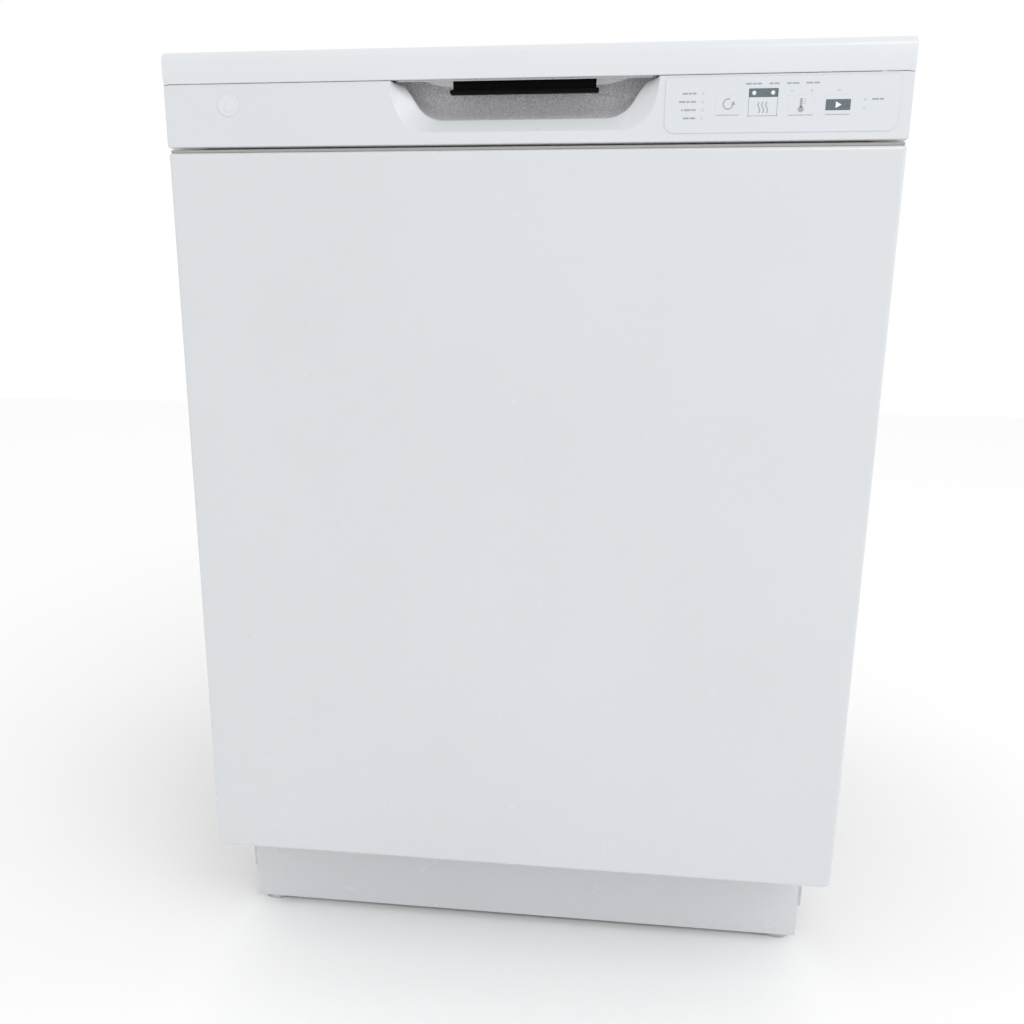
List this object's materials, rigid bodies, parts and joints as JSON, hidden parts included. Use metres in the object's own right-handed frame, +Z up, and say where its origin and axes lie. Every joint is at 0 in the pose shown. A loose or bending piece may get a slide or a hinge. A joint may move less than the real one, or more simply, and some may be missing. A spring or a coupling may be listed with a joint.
{
  "type": "built-in dishwasher",
  "caption": "Built-in dishwasher with a drop-down white door, front control console, recessed pocket handle with latch paddle, roll-out racks, spray arms, plastic tub and base frame.",
  "frame": {"origin": "on the floor, under the middle of the machine's box", "axes": "+Z up, -Y towards the user through the door, +X to the user's right"},
  "size_m": [0.603, 0.622, 0.856],
  "materials": {
    "white_enamel": "glossy baked enamel",
    "white_plastic": "semi-gloss moulded",
    "pocket_plastic": "fine spark texture",
    "black_plastic": "satin moulded",
    "overlay_film": "printed film",
    "lens_plastic": "diffusing lens",
    "circuit_board": "solder mask",
    "tub_plastic": "moulded polypropylene",
    "blue_plastic": "satin moulded",
    "spray_plastic": "moulded polypropylene",
    "pump_plastic": "moulded",
    "valve_plastic": "moulded",
    "wheel_plastic": "acetal",
    "rack_coating": "nylon coated wire",
    "black_rubber": "extruded",
    "sound_pad": "asphalt sheet",
    "blanket_felt": "cotton felt with scrim",
    "galvanised_steel": "zinc coated",
    "spring_steel": "oiled",
    "stainless": "satin"
  },
  "bodies": {
    "chassis": {"tub": "tub_plastic", "tub_gasket": "black_rubber", "insulation_blanket": "blanket_felt", "base_frame": "galvanised_steel", "mounting_brackets": "galvanised_steel", "toe_kick": "white_enamel", "levelling_legs": "galvanised_steel", "sump": "spray_plastic", "wash_pump": "pump_plastic", "drain_pump": "pump_plastic", "inlet_valve": "valve_plastic", "inlet_hose": "black_rubber", "heating_element": "stainless", "filter_plate": "stainless", "spray_hub": "spray_plastic", "rear_feed_tube": "spray_plastic", "top_sprinkler": "spray_plastic", "float_switch": "pump_plastic", "junction_box": "galvanised_steel", "door_springs": "spring_steel"},
    "door": {"outer_door_panel": "white_enamel", "inner_door_liner": "tub_plastic", "control_console": "white_plastic", "console_top_bar": "white_plastic", "handle_pocket": "pocket_plastic", "control_overlay": "overlay_film", "droplet_badge": "white_plastic", "indicator_lenses": "lens_plastic", "control_board": "circuit_board", "latch_housing": "black_plastic", "dispenser_body": "tub_plastic", "door_insulation": "sound_pad", "door_bottom_seal": "black_rubber", "hinge_arms": "galvanised_steel", "liner_screws": "stainless"},
    "lower_rack_body": {"lower_rack": "rack_coating", "silverware_basket": "spray_plastic"},
    "upper_rack_body": {"upper_rack": "rack_coating", "rack_manifold": "spray_plastic"},
    "latch_paddle_body": {"latch_paddle": "black_plastic"},
    "latch_hook_body": {"latch_hook": "galvanised_steel"},
    "cycle_button_body": {"cycle_button": "overlay_film"},
    "dry_button_body": {"dry_button": "overlay_film"},
    "temp_button_body": {"temp_button": "overlay_film"},
    "start_button_body": {"start_button": "overlay_film"},
    "dispenser_lid_body": {"dispenser_lid": "tub_plastic"},
    "rinse_aid_cap_body": {"rinse_aid_cap": "blue_plastic"},
    "filter_cup_body": {"filter_cup": "spray_plastic"},
    "lower_spray_arm_body": {"lower_spray_arm": "spray_plastic"},
    "float_cap_body": {"float_cap": "tub_plastic"},
    "spring_links_body": {"spring_links": "galvanised_steel"},
    "wheel_front_left_body": {"wheel_front_left": "wheel_plastic"},
    "wheel_front_right_body": {"wheel_front_right": "wheel_plastic"},
    "wheel_rear_left_body": {"wheel_rear_left": "wheel_plastic"},
    "wheel_rear_right_body": {"wheel_rear_right": "wheel_plastic"},
    "mid_spray_arm_body": {"mid_spray_arm": "spray_plastic"},
    "cup_shelf_left_body": {"cup_shelf_left": "rack_coating"},
    "cup_shelf_right_body": {"cup_shelf_right": "rack_coating"},
    "roller_left_body": {"roller_left": "wheel_plastic"},
    "roller_right_body": {"roller_right": "wheel_plastic"}
  },
  "joints": [
    {"name": "door_hinge", "type": "hinge", "parent": "chassis", "child": "door", "pos_m": [0, -0.262, 0.128], "axis": [1, 0, 0], "range_deg": [0, 90], "stiffness_Nm_per_rad": 20, "springref_deg": -11.46, "deforming": ["door_springs"]},
    {"name": "latch_paddle_pivot", "type": "hinge", "parent": "door", "child": "latch_paddle_body", "pos_m": [0, -0.298, 0.835], "axis": [-1, 0, 0], "range_deg": [0, 14], "stiffness_Nm_per_rad": 0.4},
    {"name": "latch_hook_pivot", "type": "hinge", "parent": "door", "child": "latch_hook_body", "pos_m": [0, -0.268, 0.834], "axis": [1, 0, 0], "range_deg": [0, 10]},
    {"name": "cycle_press", "type": "slide", "parent": "door", "child": "cycle_button_body", "axis": [0, 1, 0], "range_m": [0, 0.001], "stiffness_N_per_m": 700},
    {"name": "dry_press", "type": "slide", "parent": "door", "child": "dry_button_body", "axis": [0, 1, 0], "range_m": [0, 0.001], "stiffness_N_per_m": 700},
    {"name": "temp_press", "type": "slide", "parent": "door", "child": "temp_button_body", "axis": [0, 1, 0], "range_m": [0, 0.001], "stiffness_N_per_m": 700},
    {"name": "start_press", "type": "slide", "parent": "door", "child": "start_button_body", "axis": [0, 1, 0], "range_m": [0, 0.001], "stiffness_N_per_m": 700},
    {"name": "lid_slide", "type": "slide", "parent": "door", "child": "dispenser_lid_body", "axis": [1, 0, 0], "range_m": [0, 0.056]},
    {"name": "rinse_cap_twist", "type": "hinge", "parent": "door", "child": "rinse_aid_cap_body", "pos_m": [0.072, -0.25, 0.545], "axis": [0, 1, 0], "range_deg": [0, 90]},
    {"name": "filter_cup_twist", "type": "hinge", "parent": "chassis", "child": "filter_cup_body", "pos_m": [0.048, -0.007, 0.1], "axis": [0, 0, 1], "range_deg": [0, 90]},
    {"name": "float_rise", "type": "slide", "parent": "chassis", "child": "float_cap_body", "axis": [0, 0, 1], "range_m": [0, 0.012]},
    {"name": "lower_arm_spin", "type": "hinge", "parent": "chassis", "child": "lower_spray_arm_body", "pos_m": [0, 0.02, 0.155], "axis": [0, 0, 1], "continuous": true},
    {"name": "spring_link_slide", "type": "slide", "parent": "chassis", "child": "spring_links_body", "axis": [0, -1, 0], "range_m": [0, 0.0421]},
    {"name": "lower_rack_slide", "type": "slide", "parent": "chassis", "child": "lower_rack_body", "axis": [0, -1, 0], "range_m": [0, 0.15]},
    {"name": "upper_rack_slide", "type": "slide", "parent": "chassis", "child": "upper_rack_body", "axis": [0, -1, 0], "range_m": [0, 0.41]},
    {"name": "wheel_front_left_spin", "type": "hinge", "parent": "lower_rack_body", "child": "wheel_front_left_body", "pos_m": [-0.246, -0.093, 0.1543], "axis": [1, 0, 0], "range_deg": [0, 506]},
    {"name": "wheel_front_right_spin", "type": "hinge", "parent": "lower_rack_body", "child": "wheel_front_right_body", "pos_m": [0.246, -0.093, 0.1543], "axis": [1, 0, 0], "range_deg": [0, 506]},
    {"name": "wheel_rear_left_spin", "type": "hinge", "parent": "lower_rack_body", "child": "wheel_rear_left_body", "pos_m": [-0.246, 0.207, 0.1543], "axis": [1, 0, 0], "range_deg": [0, 506]},
    {"name": "wheel_rear_right_spin", "type": "hinge", "parent": "lower_rack_body", "child": "wheel_rear_right_body", "pos_m": [0.246, 0.207, 0.1543], "axis": [1, 0, 0], "range_deg": [0, 506]},
    {"name": "roller_left_spin", "type": "hinge", "parent": "chassis", "child": "roller_left_body", "pos_m": [-0.2645, -0.226, 0.552], "axis": [1, 0, 0], "range_deg": [0, 1955]},
    {"name": "roller_right_spin", "type": "hinge", "parent": "chassis", "child": "roller_right_body", "pos_m": [0.2645, -0.226, 0.552], "axis": [1, 0, 0], "range_deg": [0, 1955]},
    {"name": "mid_arm_spin", "type": "hinge", "parent": "upper_rack_body", "child": "mid_spray_arm_body", "pos_m": [0, 0.02, 0.454], "axis": [0, 0, 1], "continuous": true},
    {"name": "left_shelf_fold", "type": "hinge", "parent": "upper_rack_body", "child": "cup_shelf_left_body", "pos_m": [-0.232, 0, 0.6108], "axis": [0, -1, 0], "range_deg": [0, 95]},
    {"name": "right_shelf_fold", "type": "hinge", "parent": "upper_rack_body", "child": "cup_shelf_right_body", "pos_m": [0.232, 0, 0.6108], "axis": [0, 1, 0], "range_deg": [0, 95]}
  ],
  "couplings": [
    {"joint": "latch_hook_pivot", "follows": "latch_paddle_pivot", "ratio": 0.6},
    {"joint": "spring_link_slide", "follows": "door_hinge", "m_per_rad": 0.02674},
    {"joint": "lower_rack_slide", "follows": "door_hinge", "m_per_rad": 0.095},
    {"joint": "upper_rack_slide", "follows": "door_hinge", "m_per_rad": 0.26},
    {"joint": "wheel_front_left_spin", "follows": "door_hinge", "ratio": 5.5882},
    {"joint": "wheel_front_right_spin", "follows": "door_hinge", "ratio": 5.5882},
    {"joint": "wheel_rear_left_spin", "follows": "door_hinge", "ratio": 5.5882},
    {"joint": "wheel_rear_right_spin", "follows": "door_hinge", "ratio": 5.5882},
    {"joint": "roller_left_spin", "follows": "door_hinge", "ratio": 21.667},
    {"joint": "roller_right_spin", "follows": "door_hinge", "ratio": 21.667}
  ]
}
